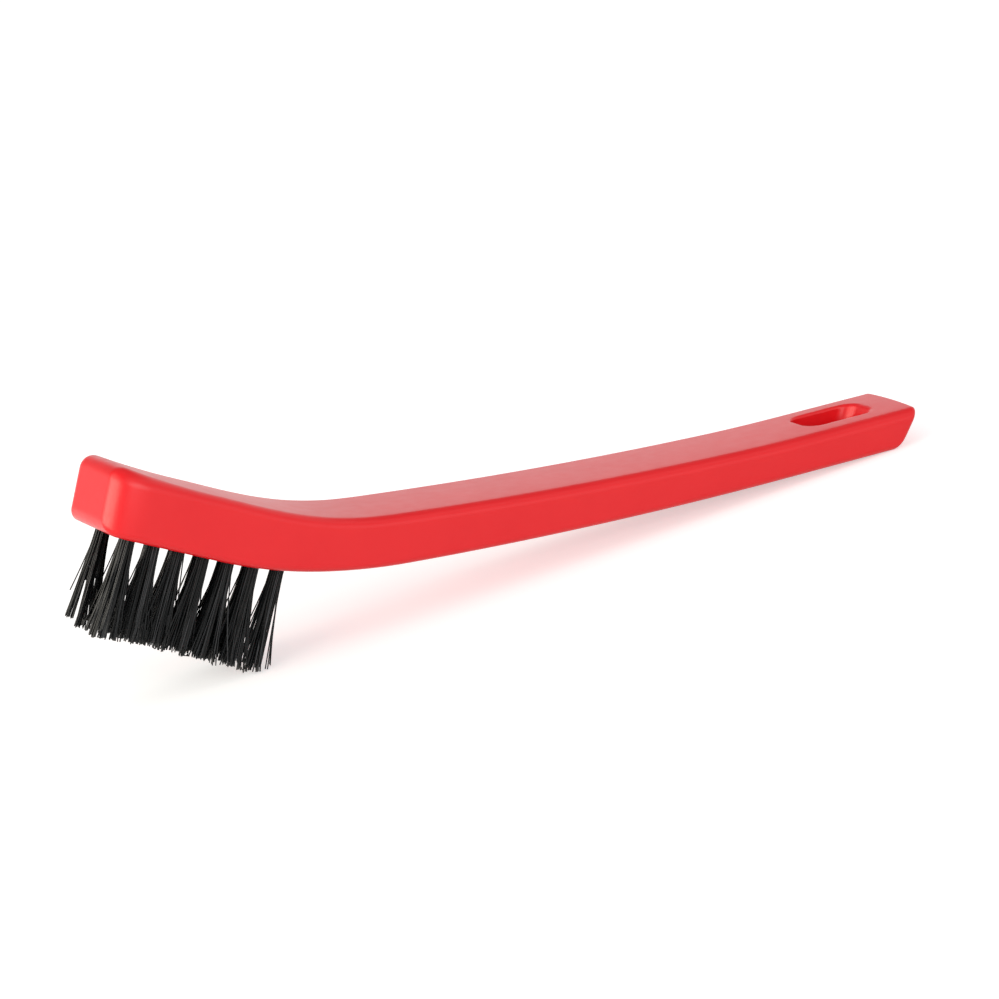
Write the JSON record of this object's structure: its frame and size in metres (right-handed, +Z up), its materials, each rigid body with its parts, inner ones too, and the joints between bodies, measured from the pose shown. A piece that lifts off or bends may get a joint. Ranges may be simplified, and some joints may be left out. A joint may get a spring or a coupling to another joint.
{
  "type": "wheel rim brush",
  "caption": "Cleaning brush with a long bent plastic handle, a hanging slot in its tail and stiff black bristle tufts under its head.",
  "frame": {"origin": "middle of the brush's bounding box, on the table that it lies on", "axes": "+X from the head to the tail, +Y across the brush, +Z up; the brush lies on its rear bristle tips and its tail's heel"},
  "size_m": [0.2722, 0.0336, 0.0715],
  "materials": {
    "red_plastic": "satin",
    "black_bristle": "satin",
    "anchor_steel": "satin"
  },
  "bodies": {
    "root": {"handle": "red_plastic", "tuft_01": "black_bristle", "tuft_02": "black_bristle", "tuft_03": "black_bristle", "tuft_04": "black_bristle", "tuft_05": "black_bristle", "tuft_06": "black_bristle", "tuft_07": "black_bristle", "tuft_08": "black_bristle", "tuft_09": "black_bristle", "tuft_10": "black_bristle", "tuft_11": "black_bristle", "tuft_12": "black_bristle", "tuft_13": "black_bristle", "tuft_14": "black_bristle", "tuft_15": "black_bristle", "tuft_16": "black_bristle", "tuft_17": "black_bristle", "tuft_18": "black_bristle", "tuft_19": "black_bristle", "tuft_20": "black_bristle", "anchor_01": "anchor_steel", "anchor_02": "anchor_steel", "anchor_03": "anchor_steel", "anchor_04": "anchor_steel", "anchor_05": "anchor_steel", "anchor_06": "anchor_steel", "anchor_07": "anchor_steel", "anchor_08": "anchor_steel", "anchor_09": "anchor_steel", "anchor_10": "anchor_steel", "anchor_11": "anchor_steel", "anchor_12": "anchor_steel", "anchor_13": "anchor_steel", "anchor_14": "anchor_steel", "anchor_15": "anchor_steel", "anchor_16": "anchor_steel", "anchor_17": "anchor_steel", "anchor_18": "anchor_steel", "anchor_19": "anchor_steel", "anchor_20": "anchor_steel"}
  },
  "joints": []
}
